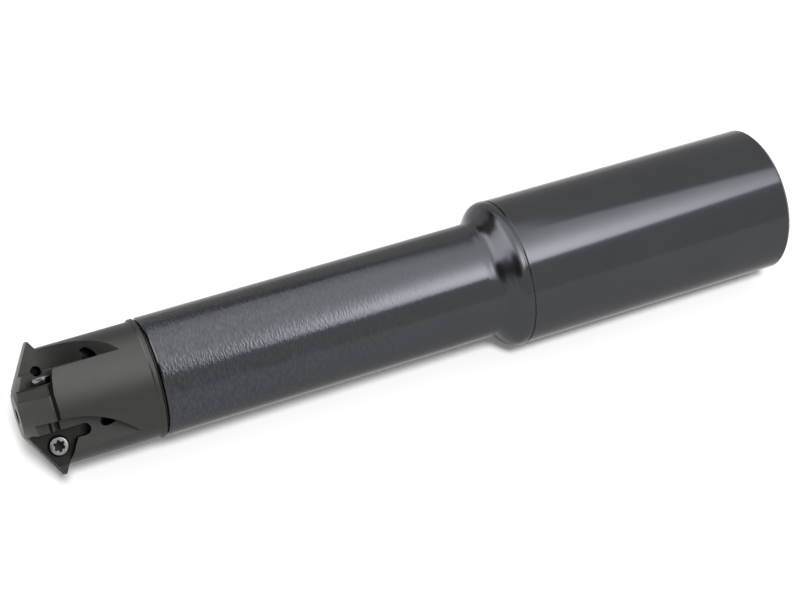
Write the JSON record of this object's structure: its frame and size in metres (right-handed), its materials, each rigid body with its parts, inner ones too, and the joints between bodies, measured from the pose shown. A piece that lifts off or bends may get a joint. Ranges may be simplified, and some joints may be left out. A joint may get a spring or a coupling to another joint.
{
  "type": "indexable thread mill",
  "caption": "Long-reach milling cutter for internal threads: cylindrical shank, slim neck, screw-in head with flutes and coolant outlets, triangular threading inserts with star-socket screws.",
  "frame": {"origin": "middle of the shank's rear face, on which the tool stands upright", "axes": "+Z along the tool's axis towards the cutting end, +X towards the radial plane of tooth 1"},
  "size_m": [0.0322, 0.0322, 0.1706],
  "materials": {
    "shank_steel": "ground steel with a dark blue-black oxide",
    "head_steel": "milled steel with a dark satin burnish",
    "insert_carbide": "dark brown-grey coated carbide",
    "screw_steel": "bright plated steel"
  },
  "bodies": {
    "root": {"shank": "shank_steel", "cutter_head": "head_steel", "insert_1": "insert_carbide", "insert_2": "insert_carbide", "insert_3": "insert_carbide", "insert_4": "insert_carbide", "insert_screw_1": "screw_steel", "insert_screw_2": "screw_steel", "insert_screw_3": "screw_steel", "insert_screw_4": "screw_steel"}
  },
  "joints": []
}
